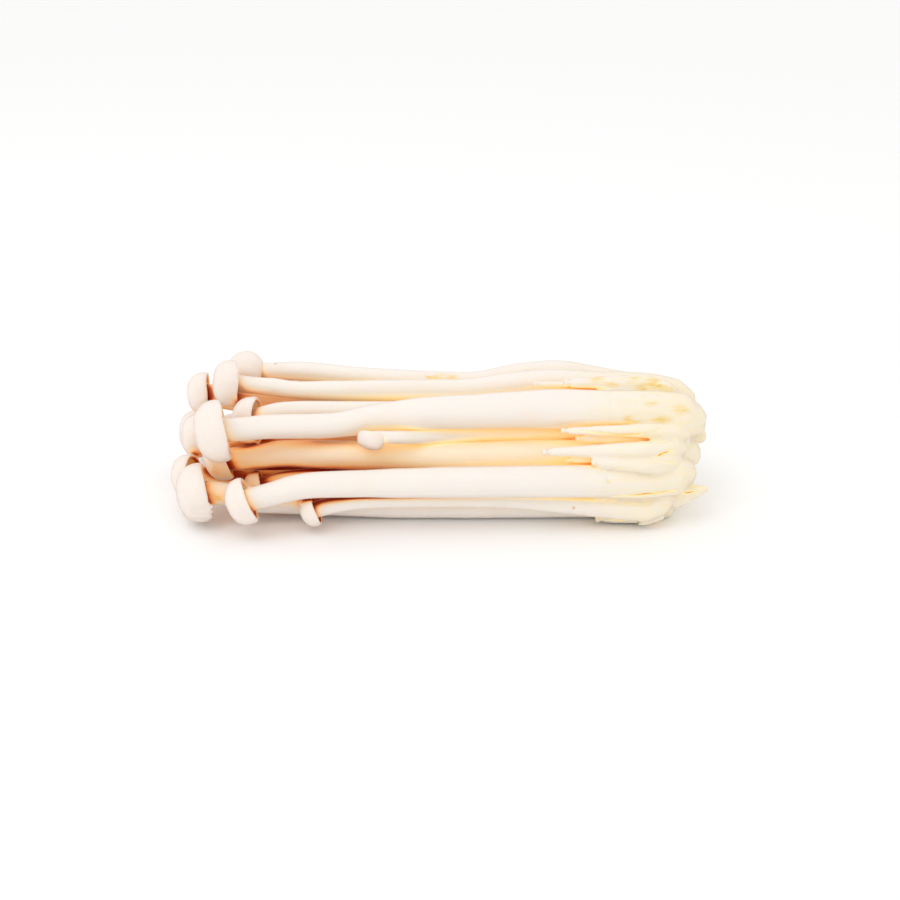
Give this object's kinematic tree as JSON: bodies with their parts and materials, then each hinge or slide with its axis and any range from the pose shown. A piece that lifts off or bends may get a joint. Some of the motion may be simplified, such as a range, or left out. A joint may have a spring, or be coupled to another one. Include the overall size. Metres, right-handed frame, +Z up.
{
  "type": "white shimeji mushroom bunch",
  "caption": "Bunch of long-stemmed white shimeji mushrooms lying on its side, round caps at one end and the fused, torn foot with button mushrooms at the other.",
  "frame": {"origin": "bottom centre of the whole bunch's bounding box, on the surface that it lies on", "axes": "+X from the caps to the foot, +Y to the back of the pictured bunch, +Z up"},
  "size_m": [0.1614, 0.0704, 0.0411],
  "materials": {
    "white_flesh": "smooth, faintly waxy white mushroom flesh with fine lengthwise fibres; pale pinkish caps",
    "shaded_flesh": "the same flesh, slightly tanned, on the stems that lie in the middle of the bunch",
    "foot_flesh": "ribbed cream-yellow flesh with darker yellow stains where it was torn from its block"
  },
  "bodies": {
    "root": {"mushroom_back_top": "white_flesh", "mushroom_back_upper": "white_flesh", "mushroom_back_left": "white_flesh", "mushroom_top_large": "white_flesh", "mushroom_behind_large": "white_flesh", "mushroom_left_middle": "white_flesh", "mushroom_left_tip": "white_flesh", "mushroom_front_low": "white_flesh", "mushroom_front": "white_flesh", "mushroom_shaded": "shaded_flesh", "mushroom_in_gap": "shaded_flesh", "mushroom_small_front": "white_flesh", "mushroom_left_back": "white_flesh", "mushroom_young": "white_flesh", "mushroom_rear_floor": "white_flesh", "mushroom_under_middle": "white_flesh", "mushroom_rear_middle": "white_flesh", "mushroom_rear_short": "white_flesh", "foot": "foot_flesh"}
  },
  "joints": []
}
